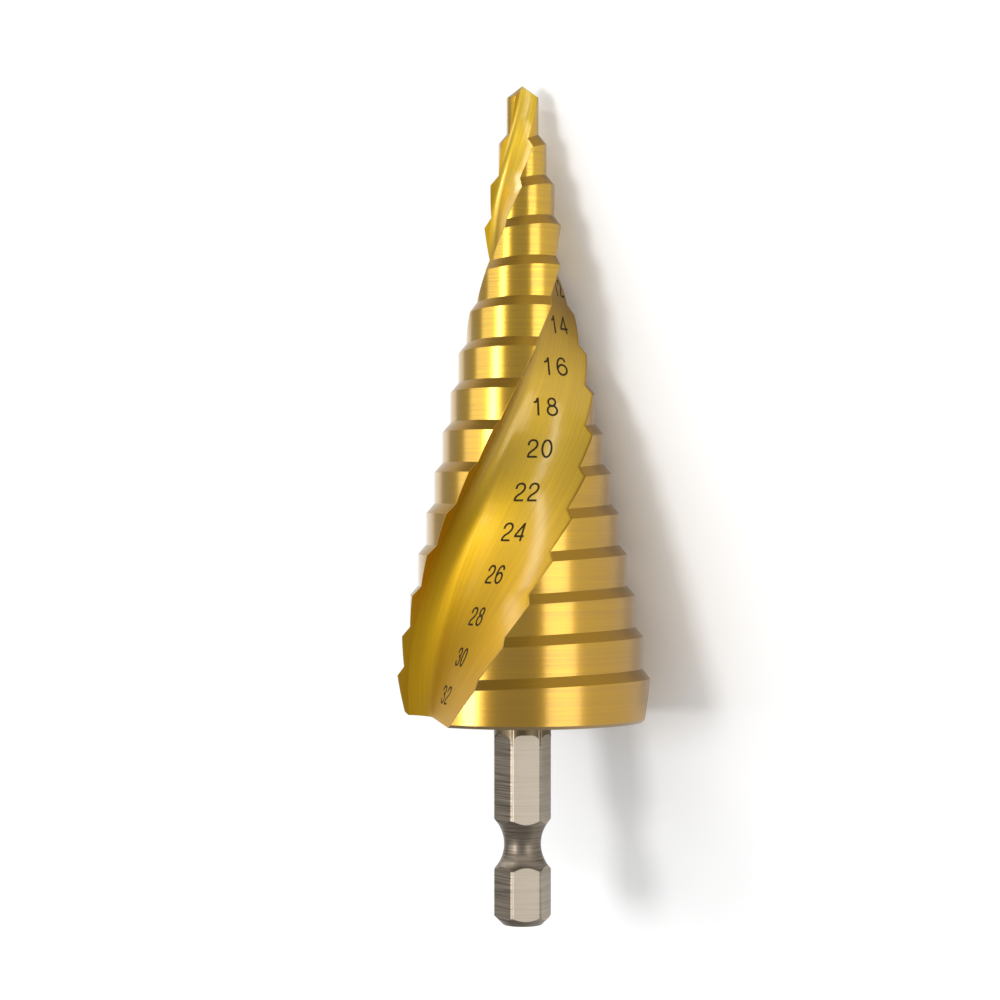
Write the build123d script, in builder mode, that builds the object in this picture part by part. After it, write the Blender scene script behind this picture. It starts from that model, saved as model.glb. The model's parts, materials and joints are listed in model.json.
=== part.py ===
from build123d import *
import os
from math import acos, cos, degrees, log, radians, sin, sqrt, tan

os.makedirs("parts", exist_ok=True)

# A spiral step drill for sheet metal. It is ground from one bar of tool steel, so it is one solid: a
# stepped head with two spiral flutes, and a shank with six milled flats. It is modelled standing on its
# axis, with the tip up and the head's flat back at height zero, and is laid down at the very end.
# Angles round the axis are in degrees, counted anticlockwise seen from the tip. Lengths are millimetres.

# The stepped head
step_count = 15
first_diameter = 4.0
diameter_rise = 2.0
step_pitch = 5.1
last_step_length = 5.2
lip_length = 1.2
back_bevel = 0.4

# The pilot in front of the first lip, and its point
pilot_length = 4.6
point_angle = 105.0

# The relief of each lip: how far it falls back from its cutting edge to its heel
lip_relief = 0.6
relief_lag = 20.0
land_width = 100.0

# The two spiral flutes. The lead is the height of one full turn, and it opens out towards the back.
flute_count = 2
lead_at_tip = 56.8
lead_at_back = 168.3
edge_angle_at_back = 157.5
floor_radius_at_tip = 0.62
floor_radius_at_back = 10.8
heel_wall_angle = 31.0
floor_rounding = 0.3
flute_sections = 25

# The shank, a round bar with six flats, a ball groove and a bevelled end
shank_diameter = 7.1
shank_length = 25.5
width_across_flats = 6.35
flat_count = 6
first_flat_angle = -82.0
collar_length = 1.75
flat_end_radius = 1.3
groove_from_end = 10.0
groove_radius = 4.5
groove_neck_diameter = 4.6
end_bevel_length = 1.1
end_bevel_depth = 1.1

# What the finished drill lies on: two cutting corners of one land, and the heel of the last step beside it
rest_steps = (10, 9)
rest_heel_height = 1.8

# Worked out from the sizes above
overlap = 1.0
first_radius = first_diameter / 2
radius_rise = diameter_rise / 2
last_radius = first_radius + radius_rise * (step_count - 1)
shank_radius = shank_diameter / 2
shoulder_height = last_step_length + step_pitch * (step_count - 2) + lip_length + pilot_length
tip_height = shoulder_height + first_radius / tan(radians(point_angle / 2))


def step_radius(number):
    """Radius of a step, where the pilot is number 0."""
    return first_radius + radius_rise * number


def corner_height(number):
    """Height of the corner where a step reaches its full diameter."""
    return last_step_length + step_pitch * (step_count - 1 - number)


def edge_angle(height):
    """Where the first flute's cutting edge is at a height, as the lead grows evenly from the tip back."""
    lead_gain = lead_at_back - lead_at_tip
    lead = lead_at_tip + lead_gain * (tip_height - height) / tip_height
    return edge_angle_at_back + 360 * tip_height / lead_gain * log(lead_at_back / lead)


def envelope_radius(height):
    """Radius at a height of the plain cone that passes through the corners of all the steps."""
    return last_radius - radius_rise * (height - last_step_length) / step_pitch


def floor_radius(height):
    """Distance from the axis to the flute's heel wall, which closes in evenly from back to tip."""
    return floor_radius_at_back - (floor_radius_at_back - floor_radius_at_tip) * height / tip_height


# A lip is a cone that stands a little off the drill's axis, towards its own cutting edge, so that the lip
# is highest there and has fallen by lip_relief at the heel. Each land has its own half of such a cone, and
# the two halves meet inside the flutes.
lip_slope = radius_rise / lip_length
cone_shift = lip_relief * lip_slope / (cos(radians(relief_lag)) - cos(radians(land_width - relief_lag)))


def half_lip(number, land):
    """One land's half of the cone that forms the lip of a step."""
    corner = corner_height(number)
    heading = edge_angle(corner) - relief_lag + land * 360 / flute_count
    low = corner - step_pitch - overlap
    high = corner + lip_length + overlap / 2
    corner_radius = step_radius(number) - cone_shift * cos(radians(relief_lag))
    with BuildPart() as half:
        with Locations(Vector(cone_shift, 0, low).rotate(Axis.Z, heading)):
            Cone(
                corner_radius + lip_slope * (corner - low),
                corner_radius - lip_slope * (high - corner),
                high - low,
                align=(Align.CENTER, Align.CENTER, Align.MIN),
            )
        split(bisect_by=Plane.YZ.rotated((0, 0, heading)), keep=Keep.TOP)
    return half.part


def step(number):
    """One drilling size: a cylinder whose upper edge is trimmed by the two lips."""
    foot = max(corner_height(number) - step_pitch - overlap, 0)
    top = corner_height(number) + lip_length + overlap
    with BuildPart() as disc:
        for land in range(flute_count):
            add(half_lip(number, land))
        with Locations((0, 0, foot)):
            Cylinder(
                step_radius(number),
                top - foot,
                align=(Align.CENTER, Align.CENTER, Align.MIN),
                mode=Mode.INTERSECT,
            )
    return disc.part


# The steps stacked on each other, with the pilot and its point in front
with BuildPart() as head:
    with BuildSketch(Plane.XZ):
        with BuildLine():
            Polyline(
                (0, corner_height(1) - overlap),
                (first_radius, corner_height(1) - overlap),
                (first_radius, shoulder_height),
                (0, tip_height),
                close=True,
            )
        make_face()
    revolve(axis=Axis.Z)
    add([step(number) for number in range(1, step_count)])
    chamfer(head.edges().group_by(Axis.Z)[0], back_bevel)


def flute(number):
    """The space that the grinding wheel clears: a cutting face, a rounded floor and a heel wall."""
    with BuildPart() as groove:
        for index in range(flute_sections):
            height = -2 * overlap + (tip_height + 4 * overlap) * index / (flute_sections - 1)
            turn = edge_angle(height) + number * 360 / flute_count
            reach = envelope_radius(height) + 2 * overlap
            floor = floor_radius(height)
            corner = floor / cos(radians(heel_wall_angle))
            heel_run = corner * sin(radians(heel_wall_angle)) + sqrt(reach**2 - floor**2)
            heel = (
                corner - heel_run * sin(radians(heel_wall_angle)),
                heel_run * cos(radians(heel_wall_angle)),
            )
            rounding = floor_rounding * envelope_radius(height)
            with BuildSketch(Plane.XY.offset(height).rotated((0, 0, turn))):
                with BuildLine():
                    FilletPolyline((reach, 0), (corner, 0), heel, radius=rounding)
                    Polyline(heel, (1.1 * reach, 1.2 * reach), (reach, 0))
                make_face()
        loft()
    return groove.part


with BuildPart() as fluted_head:
    add(head.part)
    for number in range(flute_count):
        add(flute(number), mode=Mode.SUBTRACT)

# The shank is turned with its bevelled end and its groove, then its flats are milled one by one. Each flat
# stops at the collar, where the cutter leaves rounded corners.
flat_side = width_across_flats * tan(radians(180 / flat_count))
with BuildPart() as shank:
    with BuildSketch(Plane.XZ):
        with BuildLine():
            Polyline(
                (0, overlap),
                (shank_radius, overlap),
                (shank_radius, end_bevel_length - shank_length),
                (shank_radius - end_bevel_depth, -shank_length),
                (0, -shank_length),
                close=True,
            )
        make_face()
        with Locations((groove_neck_diameter / 2 + groove_radius, groove_from_end - shank_length)):
            Circle(groove_radius, mode=Mode.SUBTRACT)
    revolve(axis=Axis.Z)
    for number in range(flat_count):
        outward = Vector(1, 0, 0).rotate(Axis.Z, first_flat_angle + number * 360 / flat_count)
        face_centre = outward * width_across_flats / 2
        with BuildSketch(Plane(origin=face_centre, x_dir=outward.rotate(Axis.Z, 90), z_dir=outward)) as flat:
            with Locations((0, -collar_length)):
                Rectangle(flat_side, shank_length, align=(Align.CENTER, Align.MAX))
            fillet(flat.vertices().group_by(Axis.Z)[-1], flat_end_radius)
        extrude(amount=shank_radius, mode=Mode.SUBTRACT)

# Head and shank are one piece of steel
with BuildPart() as upright:
    add(fluted_head.part)
    add(shank.part)


def cutting_corner(number):
    """The corner of a step on the cutting edge of the second land."""
    height = corner_height(number)
    return Vector(step_radius(number), 0, height).rotate(Axis.Z, edge_angle(height) + 180)


# The drill lies across its second flute, tip forward. The plane through its three resting points is turned
# to the ground, with the axis pointing along y, and the middle of the footprint is put at the origin.
heel_spread = heel_wall_angle + degrees(acos(floor_radius(rest_heel_height) / last_radius))
heel_turn = edge_angle(rest_heel_height) + heel_spread + 180
heel_point = Vector(last_radius, 0, rest_heel_height).rotate(Axis.Z, heel_turn)
back_corner, front_corner = [cutting_corner(number) for number in rest_steps]
upwards = (front_corner - back_corner).cross(heel_point - back_corner)
ground = Plane(origin=heel_point, x_dir=Vector(0, 0, 1).cross(upwards), z_dir=upwards)
lying = ground.location.inverse()
box = upright.part.moved(lying).bounding_box()
with BuildPart() as step_drill:
    with Locations(Location((-box.center().X, -box.center().Y, -box.min.Z)) * lying):
        add(upright.part)

step_drill.part.label = "step_drill"
export_step(step_drill.part, "parts/step_drill.step")
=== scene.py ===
import json
from math import acos, cos, e, log, pi, radians, sin, sqrt, tan

import bmesh
import bpy
from mathutils import Matrix, Vector


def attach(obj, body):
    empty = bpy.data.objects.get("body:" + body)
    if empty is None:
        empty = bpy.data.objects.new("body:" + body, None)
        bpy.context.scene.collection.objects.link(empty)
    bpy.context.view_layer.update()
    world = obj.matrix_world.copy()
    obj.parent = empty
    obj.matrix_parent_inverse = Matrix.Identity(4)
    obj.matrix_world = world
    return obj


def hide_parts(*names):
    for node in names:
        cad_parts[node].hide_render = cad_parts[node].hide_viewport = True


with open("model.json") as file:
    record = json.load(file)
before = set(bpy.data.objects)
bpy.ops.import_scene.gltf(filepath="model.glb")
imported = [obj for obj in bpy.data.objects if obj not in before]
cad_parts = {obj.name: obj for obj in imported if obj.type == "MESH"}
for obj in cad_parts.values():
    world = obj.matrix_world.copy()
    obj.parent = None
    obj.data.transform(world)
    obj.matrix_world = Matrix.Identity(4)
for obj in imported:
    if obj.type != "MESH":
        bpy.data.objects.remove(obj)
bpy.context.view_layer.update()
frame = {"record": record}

# The stepped head. It is turned and ground from the same bar of tool steel as the shank, coated with gold
# titanium nitride, and has fifteen steps that two spiral flutes run through. All sizes are held upright, tip
# up and flat back at height zero, and "laid" puts them where the drill lies on the ground.
mm = 0.001
step_count = 15
first_radius = 2.0 * mm
radius_rise = 1.0 * mm
step_pitch = 5.1 * mm
last_step_length = 5.2 * mm
lip_length = 1.2 * mm
back_bevel = 0.4 * mm
pilot_length = 4.6 * mm
point_angle = radians(105)
last_radius = first_radius + radius_rise * (step_count - 1)
shoulder_height = last_step_length + step_pitch * (step_count - 2) + lip_length + pilot_length
tip_height = shoulder_height + first_radius / tan(point_angle / 2)

# The flutes: their lead is the height of one full turn, and it opens out towards the back
lead_at_tip = 56.8 * mm
lead_at_back = 168.3 * mm
lead_gain = lead_at_back - lead_at_tip
edge_angle_at_back = radians(157.5)
floor_at_tip = 0.62 * mm
floor_at_back = 10.8 * mm
floor_rounding = 0.3
wall_angle = radians(31)

# The lips fall away behind their cutting edges
lip_relief = 0.6 * mm
relief_lag = radians(20)
land_width = radians(100)

# The drill lies on the corners of two steps and on the heel of the last one. Its place on the ground is known
# from the end of its shank, which is the mount.
rest_steps = (10, 9)
rest_heel_height = 1.8 * mm
shank_length = 25.5 * mm

# How the meshes are finished: points this close become one, and edges sharper than this stay sharp
weld_distance = 0.002 * mm
sharp_edge = radians(22)


def edge_angle(height):
    """Angle of the first flute's cutting edge round the axis."""
    lead = lead_at_tip + lead_gain * (tip_height - height) / tip_height
    return edge_angle_at_back + 2 * pi * tip_height / lead_gain * log(lead_at_back / lead)


def floor_radius(height):
    """Distance of a flute's heel wall from the axis."""
    return floor_at_back - (floor_at_back - floor_at_tip) * height / tip_height


def around(radius, angle, height):
    """A point at a radius and an angle round the axis."""
    return Vector((radius * cos(angle), radius * sin(angle), height))


def resting_matrix():
    """Lays the upright drill on its three resting points."""
    corners = []
    for number in rest_steps:
        height = last_step_length + step_pitch * (step_count - 1 - number)
        corners.append(around(first_radius + radius_rise * number, edge_angle(height) + pi, height))
    heel_spread = acos(floor_radius(rest_heel_height) / last_radius)
    heel_angle = edge_angle(rest_heel_height) + wall_angle + heel_spread + pi
    heel = around(last_radius, heel_angle, rest_heel_height)
    up = (corners[1] - corners[0]).cross(heel - corners[0]).normalized()
    right = Vector((0, 0, 1)).cross(up).normalized()
    turn = Matrix((right, up.cross(right), up)).to_4x4()
    end_of_shank = Vector(frame["record"]["mounts"][0]["pos_m"])
    return Matrix.Translation(end_of_shank - turn @ Vector((0, 0, -shank_length))) @ turn


laid = resting_matrix()
along = (laid.to_3x3() @ Vector((0, 0, 1))).normalized()


class Wire:
    """A node socket that can be used in a Python expression, in a shader or in a geometry tree."""

    def __init__(self, tree, socket=None):
        self.tree = tree
        self.socket = socket

    def node(self, kind, settings=(), inputs=(), output=0):
        """Adds a node: first its settings, then the values or links of its sockets."""
        node = self.tree.nodes.new(kind)
        for name, value in dict(settings).items():
            setattr(node, name, value)
        for key, value in dict(inputs).items():
            if isinstance(value, Wire):
                self.tree.links.new(value.socket, node.inputs[key])
            else:
                node.inputs[key].default_value = value
        return Wire(self.tree, node.outputs[output])

    def into(self, node, name):
        self.tree.links.new(self.socket, node.inputs[name])

    def maths(self, operation, *values):
        return self.node("ShaderNodeMath", {"operation": operation}, dict(enumerate(values)))

    def __add__(self, other):
        return self.maths("ADD", self, other)

    def __radd__(self, other):
        return self.maths("ADD", other, self)

    def __sub__(self, other):
        return self.maths("SUBTRACT", self, other)

    def __rsub__(self, other):
        return self.maths("SUBTRACT", other, self)

    def __mul__(self, other):
        return self.maths("MULTIPLY", self, other)

    def __rmul__(self, other):
        return self.maths("MULTIPLY", other, self)

    def __truediv__(self, other):
        return self.maths("DIVIDE", self, other)

    def __rtruediv__(self, other):
        return self.maths("DIVIDE", other, self)

    def __lt__(self, other):
        return self.maths("LESS_THAN", self, other)

    def __gt__(self, other):
        return self.maths("GREATER_THAN", self, other)

    def floor(self):
        return self.maths("FLOOR", self)

    def sin(self):
        return self.maths("SINE", self)

    def cos(self):
        return self.maths("COSINE", self)

    def tan(self):
        return self.maths("TANGENT", self)

    def acos(self):
        return self.maths("ARCCOSINE", self)

    def atan2(self, x):
        return self.maths("ARCTAN2", self, x)

    def log(self):
        return self.maths("LOGARITHM", self, e)

    def sqrt(self):
        return self.maths("SQRT", self)

    def least(self, other):
        return self.maths("MINIMUM", self, other)

    def most(self, other):
        return self.maths("MAXIMUM", self, other)

    def within(self, low=0.0, high=1.0):
        return self.most(low).least(high)

    def rise(self, low, high):
        """0 up to the low value, 1 from the high one on, even in between."""
        return ((self - low) / (high - low)).within()

    def near(self, middle, reach):
        """1 at the middle value, down to 0 at a reach from it."""
        return (1 - self.maths("ABSOLUTE", self - middle) / reach).within()

    def blend(self, other, share):
        """This value where share is 0, the other where it is 1."""
        return self + (other - self) * share

    def colours(self, first, second):
        """The first colour where this is 0, the second where it is 1."""
        return self.node("ShaderNodeMix", {"data_type": "RGBA"}, {0: self, 6: first, 7: second}, 2)

    def vector(self, x, y, z):
        return self.node("ShaderNodeCombineXYZ", inputs={"X": x, "Y": y, "Z": z})

    def parts(self):
        x = self.node("ShaderNodeSeparateXYZ", inputs={"Vector": self})
        return x, Wire(self.tree, x.socket.node.outputs["Y"]), Wire(self.tree, x.socket.node.outputs["Z"])

    def noise(self, scale, detail):
        return self.node("ShaderNodeTexNoise", inputs={"Vector": self, "Scale": scale, "Detail": detail})

    def bump(self, strength, distance):
        inputs = {"Strength": strength, "Distance": distance, "Height": self}
        return self.node("ShaderNodeBump", inputs=inputs)


def metal(name, roughness, coat):
    """A metal with its Principled shader, and the wires that its nodes start from."""
    material = bpy.data.materials.new(name)
    material.use_nodes = True
    shader = material.node_tree.nodes["Principled BSDF"]
    shader.inputs["Metallic"].default_value = 1.0
    shader.inputs["Roughness"].default_value = roughness
    shader.inputs["Coat Weight"].default_value = coat
    shader.inputs["Coat Roughness"].default_value = 0.16
    # Object coordinates, turned back to the upright drill
    start = Wire(material.node_tree)
    lying = start.node("ShaderNodeTexCoord", output="Object")
    upright = laid.inverted()
    turned = {"Vector": lying, "Location": upright.translation, "Rotation": upright.to_euler()}
    return material, shader, start, start.node("ShaderNodeMapping", inputs=turned)


step_gold = (0.43, 0.235, 0.006, 1), (0.56, 0.34, 0.005, 1)
wall_gold = (0.57, 0.325, 0.006, 1), (0.62, 0.42, 0.02, 1)
face_gold = (0.50, 0.265, 0.006, 1), (0.66, 0.42, 0.016, 1)
# Painted olive and amber reflections on the flute wall, and painted shade beside its floor
painted_olive_reflection = (0.36, 0.25, 0.02, 1)
painted_amber_reflection = (0.27, 0.15, 0.006, 1)
painted_floor_shade = (0.28, 0.16, 0.006, 1)
# Painted shade on the lips and the point
painted_lip_shade = (0.28, 0.155, 0.012, 1)
line_gold = (0.30, 0.16, 0.025, 1)
back_grey = (0.26, 0.19, 0.10, 1)
lip_facing = 0.3
back_facing = -0.6
turning_fineness = 4800
grinding_fineness = 4200


def titanium_nitride():
    """Gold coating over turned steps and ground flutes."""
    material, shader, start, place = metal("titanium_nitride", 0.22, 0.5)
    x, y, z = place.parts()
    in_flute = start.node("ShaderNodeAttribute", {"attribute_name": "in_flute"}, output="Fac")
    across_flute = start.node("ShaderNodeAttribute", {"attribute_name": "across_flute"}, output="Fac")
    on_face = in_flute * (across_flute < 0)
    on_wall = in_flute - on_face
    true_normal = start.node("ShaderNodeNewGeometry", output="True Normal")
    forward = start.node(
        "ShaderNodeVectorMath", {"operation": "DOT_PRODUCT"}, {0: true_normal, 1: along}, "Value"
    )
    on_lip = (forward > lip_facing) * (1 - in_flute)
    on_back = forward < back_facing

    # Fine lines run round the turned steps, and lengthways in the flutes, the way the wheel went
    turning_lines = start.vector(y.atan2(x) * 0.35, 0.0, z * turning_fineness).noise(1.0, 3.0)
    grinding_lines = start.vector(across_flute * grinding_fineness, z * 90, 0.0).noise(1.0, 3.0)
    lines = turning_lines.blend(grinding_lines, in_flute)

    # The gold is deeper at the back than at the tip, and redder on a flute's cutting face than on its wall.
    # The wall has painted reflections, olive in the middle and amber further up, and painted shade that makes
    # it deeper beside the floor in its lower half.
    near_tip = z.rise(0.0, tip_height)
    olive_reflection = z.near(34 * mm, 16 * mm)
    amber_reflection = z.near(52 * mm, 10 * mm)
    floor_shade = across_flute.rise(6 * mm, 0.0) * z.rise(12 * mm, 24 * mm) * z.rise(56 * mm, 0.0)
    wall = near_tip.colours(*wall_gold)
    wall = (olive_reflection * 0.6).colours(wall, painted_olive_reflection)
    wall = (amber_reflection * 0.75).colours(wall, painted_amber_reflection)
    wall = (floor_shade * 0.9).colours(wall, painted_floor_shade)
    gold = on_wall.colours(near_tip.colours(*step_gold), wall)
    gold = on_face.colours(gold, near_tip.colours(*face_gold))

    # The lips and the point get painted shade, the back is bare, and dirt stays in the lines
    gold = on_lip.colours(gold, painted_lip_shade)
    gold = on_back.colours(gold, back_grey)
    line_depth = ((lines - 0.5) * 2.4 + 0.5).within()
    gold = (line_depth * (0.45 - in_flute * 0.12)).colours(gold, line_gold)

    # The clear sheen is full on the steps and hardly there on the lips, the back and the cutting faces. On
    # the wall it grows towards the tip and away from the floor.
    sheen = z.rise(24 * mm, 32 * mm).most(across_flute.rise(5 * mm, 9 * mm))
    sheen = sheen * z.rise(8.4 * mm, 22.4 * mm) * (1 - amber_reflection * 0.5)
    coat = 0.95 - on_lip * 0.85 - on_back * 0.8 - on_face * 0.9 - on_wall * (0.9 - sheen * 0.8)

    gold.into(shader, "Base Color")
    coat.into(shader, "Coat Weight")
    (0.18 + lines * 0.12 + on_face * 0.17 + on_wall * 0.24).into(shader, "Roughness")
    lines.bump(0.5, 0.02 * mm).into(shader, "Normal")
    return material


def stepped_head():
    """Node tree that shapes a long grid of rings. A ring runs round the steel on one level of a step: along
    the flat cutting face, round the floor, up the heel wall and over the land, and the same again."""
    tree = bpy.data.node_groups.new("stepped_head", "GeometryNodeTree")
    sizes = {
        "Step Count": step_count,
        "First Radius": first_radius,
        "Radius Rise": radius_rise,
        "Step Pitch": step_pitch,
        "Last Step Length": last_step_length,
        "Lip Length": lip_length,
        "Pilot Length": pilot_length,
        "Tip Height": tip_height,
        "Point Height": tip_height - shoulder_height,
        "Back Bevel": back_bevel,
        "Lip Relief": lip_relief,
        "Relief Lag": relief_lag,
        "Land Width": land_width,
        "Lead Gain": lead_gain,
        "Lead At Back": lead_at_back,
        "Edge Angle At Back": edge_angle_at_back,
        "Floor At Tip": floor_at_tip,
        "Floor At Back": floor_at_back,
        "Wall Angle": wall_angle,
        "Floor Rounding": floor_rounding,
    }
    identifiers = {}
    for name in sizes:
        socket = tree.interface.new_socket(name, in_out="INPUT", socket_type="NodeSocketFloat")
        identifiers[socket.identifier] = sizes[name]
    tree.interface.new_socket("Geometry", in_out="OUTPUT", socket_type="NodeSocketGeometry")
    group_in = tree.nodes.new("NodeGroupInput")
    size = {name: Wire(tree, group_in.outputs[name]) for name in sizes}
    start = Wire(tree)

    # The first two rows close the back, and the last ones draw in to the point
    back_rows = 2
    cylinder_rows = 10
    point_rows = 12
    face_columns, floor_columns, wall_columns, land_columns = 10, 14, 26, 70
    wall_begins = face_columns + floor_columns
    land_begins = wall_begins + wall_columns
    half_columns = land_begins + land_columns
    rows = back_rows + (cylinder_rows + 1) * step_count + point_rows
    columns = 2 * half_columns + 1
    grid = start.node("GeometryNodeMeshGrid", inputs={"Vertices X": columns, "Vertices Y": rows})
    index = start.node("GeometryNodeInputIndex")
    column = (index / rows).floor()
    row = index - column * rows

    # Which step a ring is on, counted from the back, and how far up it
    ring = row - back_rows
    step = (ring / (cylinder_rows + 1)).floor().within(0, step_count - 1)
    climb = (ring - step * (cylinder_rows + 1)) / cylinder_rows
    on_back = row < 1.5
    on_hub = row < 0.5
    on_last = step < 0.5
    on_pilot = step > size["Step Count"] - 1.5
    along_point = ((climb - 1) * (cylinder_rows / point_rows)).within() * on_pilot
    climb = climb.within()
    corner = size["Last Step Length"] + size["Step Pitch"] * step
    foot = corner - size["Step Pitch"] + size["Lip Length"]
    shoulder = foot + size["Pilot Length"]
    foot = foot.blend(size["Back Bevel"], on_last)
    top = corner.blend(shoulder, on_pilot)
    height = (foot + (top - foot) * climb + size["Point Height"] * along_point) * (1 - on_back)
    step_radius = size["First Radius"] + size["Radius Rise"] * (size["Step Count"] - 1 - step)
    rim = step_radius - size["Back Bevel"] * on_back
    limit = rim * (1 - along_point) * (1 - on_hub)
    relieved = (1 - on_back) * (1 - on_last * (1 - climb)) * (1 - on_pilot * climb)

    # How far along each part of the ring a point is
    half = (column / half_columns).floor().within(0, 1)
    spot = column - half * half_columns
    along_face = (spot / face_columns).within()
    along_floor = ((spot - face_columns) / floor_columns).within()
    along_wall = ((spot - wall_begins) / wall_columns).within()
    along_land = ((spot - land_begins) / land_columns).within()
    past_face = spot > face_columns + 0.5
    past_floor = spot > wall_begins + 0.5
    past_wall = spot > land_begins - 0.5

    # A ring falls behind its cutting edge by the relief of the lips
    lag_cosine = size["Relief Lag"].cos()
    behind = (1 - along_land) * size["Land Width"] - size["Relief Lag"]
    most_fall = lag_cosine - (size["Land Width"] - size["Relief Lag"]).cos()
    fall = size["Lip Relief"] * relieved
    heel_level = height - fall
    flute_level = height - fall * along_wall
    land_level = height - fall * (lag_cosine - behind.cos()) / most_fall

    def edge_at(level):
        lead = size["Lead At Back"] - level * size["Lead Gain"] / size["Tip Height"]
        opening = (size["Lead At Back"] / lead).log() * size["Tip Height"] / size["Lead Gain"]
        return size["Edge Angle At Back"] + opening * (2 * pi)

    def floor_at(level):
        narrowing = (size["Floor At Back"] - size["Floor At Tip"]) * level / size["Tip Height"]
        return size["Floor At Back"] - narrowing

    # The flute's section, with the cutting face along its x axis
    wall_turn = pi / 2 - size["Wall Angle"]
    wall_sine, wall_cosine = size["Wall Angle"].sin(), size["Wall Angle"].cos()
    floor = floor_at(flute_level)
    up_the_head = (flute_level - size["Last Step Length"]) / size["Step Pitch"]
    envelope = size["First Radius"] + size["Radius Rise"] * (size["Step Count"] - 1 - up_the_head)
    rounding = envelope * size["Floor Rounding"]
    tangent = rounding * (wall_turn / 2).tan()
    wall_corner = floor / wall_cosine
    face_x = rim + (wall_corner + tangent - rim) * along_face
    sweep = along_floor * (size["Wall Angle"] - pi / 2) - pi / 2
    floor_x = wall_corner + tangent + rounding * sweep.cos()
    floor_y = rounding + rounding * sweep.sin()
    wall_start = tangent - floor * wall_sine / wall_cosine
    wall_finish = (rim * rim - floor * floor).most(0.0).sqrt()
    run = wall_start + (wall_finish - wall_start) * along_wall
    wall_x = floor * wall_cosine - run * wall_sine
    wall_y = floor * wall_sine + run * wall_cosine
    flute_x = face_x.blend(floor_x, past_face).blend(wall_x, past_floor)
    flute_y = (floor_y * past_face).blend(wall_y, past_floor)
    flute_radius = (flute_x * flute_x + flute_y * flute_y).sqrt().least(limit)
    flute_angle = flute_y.atan2(flute_x) + edge_at(flute_level)

    # The land, from the flute's heel to the other cutting edge
    heel_spread = (floor_at(heel_level) / rim).within(-1, 1).acos()
    heel_angle = edge_at(heel_level) + size["Wall Angle"] + heel_spread
    land_angle = heel_angle.blend(edge_at(height) + pi, along_land)
    radius = flute_radius.blend(limit, past_wall)
    angle = flute_angle.blend(land_angle, past_wall) + half * pi
    level = flute_level.blend(land_level, past_wall)
    position = start.vector(radius * angle.cos(), radius * angle.sin(), level)
    shaped = start.node("GeometryNodeSetPosition", inputs={"Geometry": grid, "Position": position})

    # What the coating reads: where a flute is, and the distance over its surface from where its floor begins
    floor_arc = rounding * wall_turn * along_floor
    across = wall_corner + tangent - face_x + floor_arc + (run - wall_start) * past_floor
    for name, value in (("across_flute", across), ("in_flute", 1 - past_wall)):
        stored = {"Geometry": shaped, "Name": name, "Value": value}
        shaped = start.node("GeometryNodeStoreNamedAttribute", inputs=stored)
    closed = start.node("GeometryNodeMergeByDistance", inputs={"Geometry": shaped, "Distance": weld_distance})
    real = start.node("GeometryNodeRealizeInstances", inputs={"Geometry": closed})
    coated = start.node("GeometryNodeSetMaterial", inputs={"Geometry": real, "Material": titanium_nitride()})
    coated.into(tree.nodes.new("NodeGroupOutput"), "Geometry")
    return tree, identifiers


def set_down(name, data):
    """Puts a mesh, a lamp or a camera in the scene."""
    thing = bpy.data.objects.new(name, data)
    bpy.context.collection.objects.link(thing)
    return thing


def made_by(tree, values, name):
    """A plain mesh object of what a node tree makes."""
    holder = set_down(name, bpy.data.meshes.new(name))
    modifier = holder.modifiers.new("shape", "NODES")
    modifier.node_group = tree
    for identifier, value in values.items():
        modifier[identifier] = float(value)
    evaluated = holder.evaluated_get(bpy.context.evaluated_depsgraph_get())
    mesh = bpy.data.meshes.new_from_object(evaluated)
    holder.modifiers.remove(modifier)
    holder.data = mesh
    return holder


def lay_down(mesh):
    """Turns an upright mesh to where the drill lies, with smooth rounds between its sharp edges."""
    mesh.transform(laid)
    mesh.shade_smooth()
    mesh.set_sharp_from_angle(angle=sharp_edge)


head = made_by(*stepped_head(), "stepped_head")
lay_down(head.data)
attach(head, "root")
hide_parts("step_drill")

# The shank. It is the same bar, turned to a round with a bevelled end and a ball groove, and left as bare
# steel. Six flats are milled on it, each with rounded corners where the cutter stopped under the head.
shank_radius = 3.55 * mm
half_across_flats = 3.175 * mm
flat_count = 6
flat_pitch = 2 * pi / flat_count
first_flat_angle = radians(-82)
collar_length = 1.75 * mm
flat_corner_radius = 1.3 * mm
groove_height = 10.0 * mm - shank_length
groove_radius = 4.5 * mm
groove_neck_radius = 2.3 * mm
end_bevel_length = 1.1 * mm
end_bevel_depth = 1.1 * mm
held_in_head = 0.8 * mm
half_flat = acos(half_across_flats / shank_radius)
dark_steel = (0.085, 0.068, 0.048, 1)
bright_steel = (0.54, 0.465, 0.375, 1)
under_head_brown = (0.12, 0.085, 0.04, 1)
flat_tolerance = 0.02 * mm
round_tolerance = 0.05 * mm
full_flats_below = -3.1 * mm
darkened_above = -3.2 * mm
darkening_fade = 1.2 * mm
mark_fineness = (110, 110, 6500)
mottle_fineness = 900.0


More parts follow.
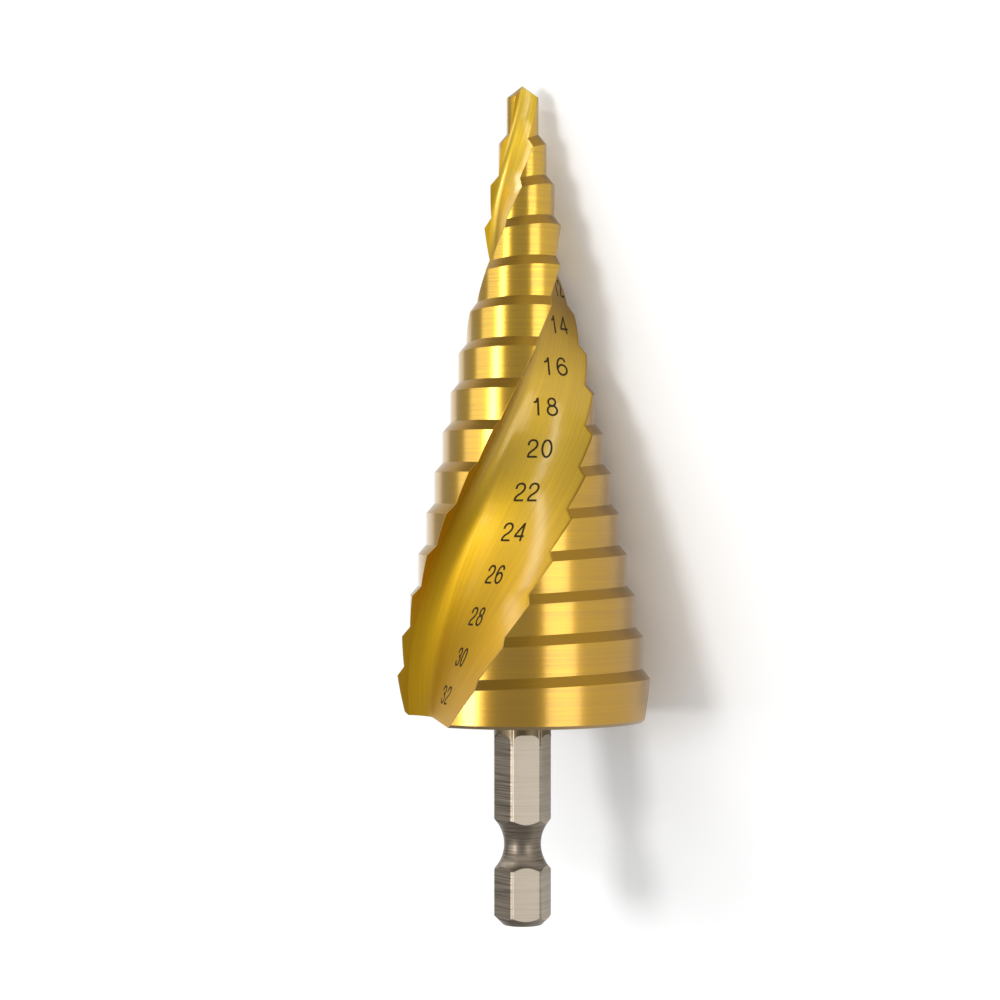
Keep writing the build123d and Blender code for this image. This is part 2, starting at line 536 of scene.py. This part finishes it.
def bare_steel():
    """Milled and turned tool steel, a warm grey with cutter marks."""
    material, shader, start, place = metal("bare_steel", 0.3, 0.0)
    x, y, z = place.parts()
    from_axis = (x * x + y * y).sqrt()

    # A flat is all that lies half_across_flats from the axis. Each flat gets its own painted light and shade,
    # palest on the flat that faces the camera.
    turn = (y.atan2(x) - first_flat_angle) / flat_pitch + 0.5
    out = from_axis * ((turn - turn.floor() - 0.5) * flat_pitch).cos()
    on_flat = (out > half_across_flats - flat_tolerance) * (out < half_across_flats + flat_tolerance)
    # The round strips between the flats get a painted highlight, lighter than the other turned parts
    corner_highlight = (z < full_flats_below) * (from_axis > shank_radius - round_tolerance)
    painted_flat_light = (turn.floor() * radians(100) - radians(20)).cos() * 0.5 + 0.5
    tone = painted_flat_light.blend(0.2 + corner_highlight * 0.2, 1 - on_flat)

    # The cutter left marks round the bar, and the round part under the head is darker and browner towards the
    # head, with a mottled edge
    marks = start.node("ShaderNodeMapping", inputs={"Vector": place, "Scale": mark_fineness})
    marks = marks.noise(1.0, 4.0)
    mottle = place.noise(mottle_fineness, 3.0)
    tone = (tone + (marks - 0.5) * (1.35 - painted_flat_light * 0.8)).within()
    near_head = ((z - darkened_above) / darkening_fade + (mottle - 0.5) * 3).within() * (1 - on_flat)
    steel = (near_head * 0.8).colours(tone.colours(dark_steel, bright_steel), under_head_brown)
    steel.into(shader, "Base Color")
    (0.30 + marks * 0.16).into(shader, "Roughness")
    marks.bump(0.35, 0.03 * mm).into(shader, "Normal")
    return material


def shank_column(turn):
    """Points down the shank at an angle from the middle of a flat, with the same number everywhere."""
    straight_parts, groove_parts = 8, 24
    flat = min(half_across_flats / cos(turn), shank_radius)
    aside = max(abs(flat * sin(turn)) - (half_across_flats * tan(flat_pitch / 2) - flat_corner_radius), 0)
    flat_top = -collar_length - flat_corner_radius + sqrt(flat_corner_radius**2 - aside**2)
    ball_centre = groove_neck_radius + groove_radius
    groove_reach = sqrt(groove_radius**2 - (ball_centre - flat) ** 2)
    upper, lower = groove_height + groove_reach, groove_height - groove_reach
    bevel_top = -shank_length + end_bevel_length * (1 - (shank_radius - flat) / end_bevel_depth)
    points = [(0, held_in_head), (shank_radius, held_in_head), (shank_radius, flat_top), (flat, flat_top)]
    for part in range(1, straight_parts + 1):
        points.append((flat, flat_top + (upper - flat_top) * part / straight_parts))
    for part in range(1, groove_parts):
        height = upper + (lower - upper) * part / groove_parts
        points.append((ball_centre - sqrt(groove_radius**2 - (height - groove_height) ** 2), height))
    for part in range(straight_parts + 1):
        points.append((flat, lower + (bevel_top - lower) * part / straight_parts))
    return points + [(shank_radius - end_bevel_depth, -shank_length), (0, -shank_length)]


def shank_columns():
    """All columns of points, going round the shank over each flat and the round corner beside it."""
    flat_parts, corner_parts = 10, 3
    turns = [-half_flat + 2 * half_flat * part / flat_parts for part in range(flat_parts)]
    turns += [half_flat + (flat_pitch - 2 * half_flat) * part / corner_parts for part in range(corner_parts)]
    for flat in range(flat_count):
        for turn in turns:
            angle = first_flat_angle + flat * flat_pitch + turn
            column = shank_column(min(turn, half_flat))
            yield [around(radius, angle, height) for radius, height in column]


columns = list(shank_columns())
tall = len(columns[0])
faces = []
for number in range(len(columns)):
    here, beside = number * tall, (number + 1) % len(columns) * tall
    for level in range(tall - 1):
        faces.append((here + level, here + level + 1, beside + level + 1, beside + level))
shank_mesh = bpy.data.meshes.new("shank")
shank_mesh.from_pydata([point for column in columns for point in column], [], faces)
shank = set_down("shank", shank_mesh)
shank_mesh.materials.append(bare_steel())

shank_bm = bmesh.new()
shank_bm.from_mesh(shank_mesh)
bmesh.ops.remove_doubles(shank_bm, verts=shank_bm.verts, dist=weld_distance)
bmesh.ops.recalc_face_normals(shank_bm, faces=shank_bm.faces)
shank_bm.to_mesh(shank_mesh)
shank_bm.free()
lay_down(shank_mesh)
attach(shank, "root")
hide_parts("step_drill")

# The step sizes, marked in dark figures on the flute that faces up. Each stands beside its own step, is
# drawn with one thin even line, and follows the turn of the heel wall.
figure_height = 2.2 * mm
figure_spacing = 1.74 * mm
figure_middle = Vector((0.32, 0.5))
line_width = 0.25 * mm
line_proud = 0.02 * mm
# Size of the step, then height, distance along the wall, lean and width of its figures
figure_places = [
    (12, 53.76, 2.48, 0.0, 1.0), (14, 49.00, 1.47, 0.0, 1.1), (16, 43.74, 1.24, 0.0, 1.18),
    (18, 38.71, 0.90, 0.0, 1.07), (20, 33.56, 1.76, 0.1, 0.98), (22, 28.24, 2.08, 0.15, 0.96),
    (24, 23.39, 2.53, 0.2, 0.97), (26, 18.24, 2.52, 0.25, 0.8), (28, 13.11, 2.52, 0.3, 0.8),
    (30, 8.13, 2.75, 0.35, 0.75), (32, 3.35, 2.02, 0.4, 1.1),
]


def oval(x, y, wide, tall):
    """A closed oval line round a point of the figure's own square."""
    turns = [2 * pi * part / 12 for part in range(13)]
    return [(x + wide * sin(turn), y + tall * cos(turn)) for turn in turns]


figure_lines = {
    "0": [oval(0.32, 0.5, 0.26, 0.47)],
    "1": [[(0.10, 0.74), (0.24, 0.78), (0.32, 0.97)], [(0.34, 1.0), (0.34, 0.0)]],
    "2": [
        [
            (0.06, 0.67), (0.09, 0.84), (0.19, 0.94), (0.33, 0.97), (0.47, 0.92), (0.55, 0.79), (0.53, 0.62),
            (0.40, 0.46), (0.22, 0.33), (0.10, 0.19), (0.06, 0.03),
        ],
        [(0.04, 0.04), (0.58, 0.04)],
    ],
    "3": [
        [
            (0.07, 0.70), (0.10, 0.86), (0.21, 0.95), (0.33, 0.97), (0.46, 0.92), (0.53, 0.77), (0.45, 0.59),
            (0.26, 0.54),
        ],
        [
            (0.26, 0.54), (0.46, 0.50), (0.57, 0.37), (0.56, 0.19), (0.45, 0.07), (0.31, 0.03), (0.15, 0.08),
            (0.05, 0.28),
        ],
    ],
    "4": [[(0.47, 0.0), (0.47, 1.0)], [(0.47, 0.97), (0.04, 0.29)], [(0.02, 0.27), (0.62, 0.27)]],
    "6": [
        [
            (0.54, 0.75), (0.49, 0.90), (0.35, 0.97), (0.20, 0.91), (0.10, 0.74), (0.06, 0.48), (0.09, 0.23),
            (0.19, 0.08), (0.33, 0.03), (0.47, 0.08), (0.57, 0.22), (0.57, 0.41), (0.47, 0.55), (0.33, 0.60),
            (0.18, 0.54), (0.08, 0.40),
        ],
    ],
    "8": [oval(0.32, 0.76, 0.20, 0.21), oval(0.32, 0.29, 0.26, 0.26)],
}


def smoothed(corners):
    """Points on a smooth line through a few corners."""
    if len(corners) < 3:
        return [Vector(corners[0]).lerp(Vector(corners[1]), part / 6) for part in range(7)]
    closed = corners[0] == corners[-1]
    before = corners[-2] if closed else corners[0]
    after = corners[1] if closed else corners[-1]
    padded = [Vector(corner) for corner in (before, *corners, after)]
    line = []
    for first, second, third, fourth in zip(padded, padded[1:], padded[2:], padded[3:]):
        for part in range(4):
            t = part / 4
            line.append(
                second
                + (third - first) * (t / 2)
                + (first * 2 - second * 5 + third * 4 - fourth) * (t * t / 2)
                + (second * 3 - first - third * 3 + fourth) * (t * t * t / 2)
            )
    return line + [Vector(corners[-1])]


def on_heel_wall(middle, beside_middle, x, y, out):
    """Drops a point of a flat figure on the wall, square to the wall at the figure's middle."""
    turn = edge_angle(middle + y) - edge_angle(middle)
    beside = beside_middle + x
    depth = (floor_radius(middle + y) - beside * sin(turn)) / cos(turn) + out
    angle = edge_angle(middle) + wall_angle
    return around(depth, angle, middle + y) + Vector((-sin(angle), cos(angle), 0)) * beside


def matt(name, colour, roughness, specular):
    """A dull material of one colour, for the marking and the floor."""
    material = bpy.data.materials.new(name)
    material.use_nodes = True
    shader = material.node_tree.nodes["Principled BSDF"]
    shader.inputs["Base Color"].default_value = colour
    shader.inputs["Roughness"].default_value = roughness
    shader.inputs["Specular IOR Level"].default_value = specular
    return material


figure_bm = bmesh.new()
for diameter, middle, beside_middle, lean, wideness in figure_places:
    for number, digit in enumerate(str(diameter)):
        for corners in figure_lines[digit]:
            line = smoothed(corners)
            rungs = []
            for index, point in enumerate(line):
                ahead = line[min(index + 1, len(line) - 1)] - line[max(index - 1, 0)]
                side = Vector((-ahead.y, ahead.x)).normalized() * line_width / 2
                x = (point.x - figure_middle.x) * figure_height + (number - 0.5) * figure_spacing
                y = (point.y - figure_middle.y) * figure_height
                rung = []
                for edge, out in ((1, -1), (-1, -1), (-1, 1), (1, 1)):
                    tall = y + side.y * edge
                    wide = x * wideness + side.x * edge + tall * lean
                    spot = on_heel_wall(middle * mm, beside_middle * mm, wide, tall, out * line_proud)
                    rung.append(figure_bm.verts.new(spot))
                rungs.append(rung)
            for low, high in zip(rungs, rungs[1:]):
                for corner in range(4):
                    beyond = (corner + 1) % 4
                    figure_bm.faces.new((low[corner], low[beyond], high[beyond], high[corner]))
            figure_bm.faces.new(rungs[0][::-1])
            figure_bm.faces.new(rungs[-1])
bmesh.ops.recalc_face_normals(figure_bm, faces=figure_bm.faces)
figure_mesh = bpy.data.meshes.new("figures")
figure_bm.to_mesh(figure_mesh)
figure_bm.free()
figure_mesh.transform(laid)
figures = set_down("figures", figure_mesh)
figure_mesh.materials.append(matt("dark_marking", (0.03, 0.02, 0.006, 1), 0.8, 0.15))
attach(figures, "root")

# The floor, the camera and the light. The camera looks down on the lying drill, square to its axis, with the
# tip at the top of the picture. The light is a pale room with six softboxes: three stand square to the axis
# and show as bright bands on the steps, and three stand towards the tip and show along the flute.
facing = (laid.to_3x3() @ Vector((0, -1, 0))).normalized()
across = along.cross(facing).normalized()
back_centre = laid @ Vector((0, 0, 0))
picture_side = 1000
focal_pixels = 2590
pixels_per_metre = 8030
axis_column = 522.5
back_row = 719.0
sensor_width = 36


def stood_at(middle, x, y, z):
    """Stands a lamp or the camera at a point, with its own three directions."""
    return Matrix.Translation(middle) @ Matrix((x, y, z)).transposed().to_4x4()


aim = back_centre + along * (back_row - picture_side / 2) / pixels_per_metre
aim -= across * (axis_column - picture_side / 2) / pixels_per_metre
camera_data = bpy.data.cameras.new("camera")
camera_data.sensor_width = sensor_width
camera_data.lens = sensor_width * focal_pixels / picture_side
camera_data.clip_start = 0.01
camera = set_down("camera", camera_data)
camera.matrix_world = stood_at(aim + facing * focal_pixels / pixels_per_metre, across, along, facing)
bpy.context.scene.camera = camera
bpy.context.scene.view_settings.view_transform = "Standard"

floor_side = 3.0
floor_mesh = bpy.data.meshes.new("floor")
floor_corners = [(x * floor_side, y * floor_side, 0) for x, y in ((-1, -1), (1, -1), (1, 1), (-1, 1))]
floor_mesh.from_pydata(floor_corners, [], [(0, 1, 2, 3)])
floor_mesh.materials.append(matt("pale_floor", (0.94, 0.94, 0.94, 1), 0.9, 0.2))
ground = set_down("floor", floor_mesh)

world = bpy.data.worlds.new("studio")
bpy.context.scene.world = world
world.use_nodes = True
world.node_tree.nodes["Background"].inputs["Color"].default_value = (0.56, 0.56, 0.56, 1)
world.node_tree.nodes["Background"].inputs["Strength"].default_value = 1.0


def softbox(name, round_axis, forward, away, width, length, radiance):
    """A soft light that looks at the drill, from an angle round its axis and one towards its tip."""
    data = bpy.data.lights.new(name, "AREA")
    data.shape = "RECTANGLE"
    data.size = width
    data.size_y = length
    data.energy = radiance * pi * width * length
    outward = facing * cos(radians(round_axis)) + across * sin(radians(round_axis))
    sideways = along.cross(outward)
    outward = outward * cos(radians(forward)) + along * sin(radians(forward))
    lit_point = back_centre + along * 35 * mm
    lamp = set_down(name, data)
    lamp.matrix_world = stood_at(lit_point + outward * away, sideways, outward.cross(sideways), outward)


softbox("upper_light", -63, -1, 0.90, 0.98, 0.33, 1.8)
softbox("bright_strip", -48, -2, 0.86, 0.20, 0.25, 12.0)
softbox("right_light", 38, 0, 0.80, 0.50, 0.34, 3.0)
softbox("front_strip", -62, 38, 0.90, 1.00, 0.08, 7.0)
softbox("right_strip", 14, 33, 0.90, 1.10, 0.06, 7.5)
softbox("far_strip", -114, 28, 0.90, 0.40, 0.10, 6.0)
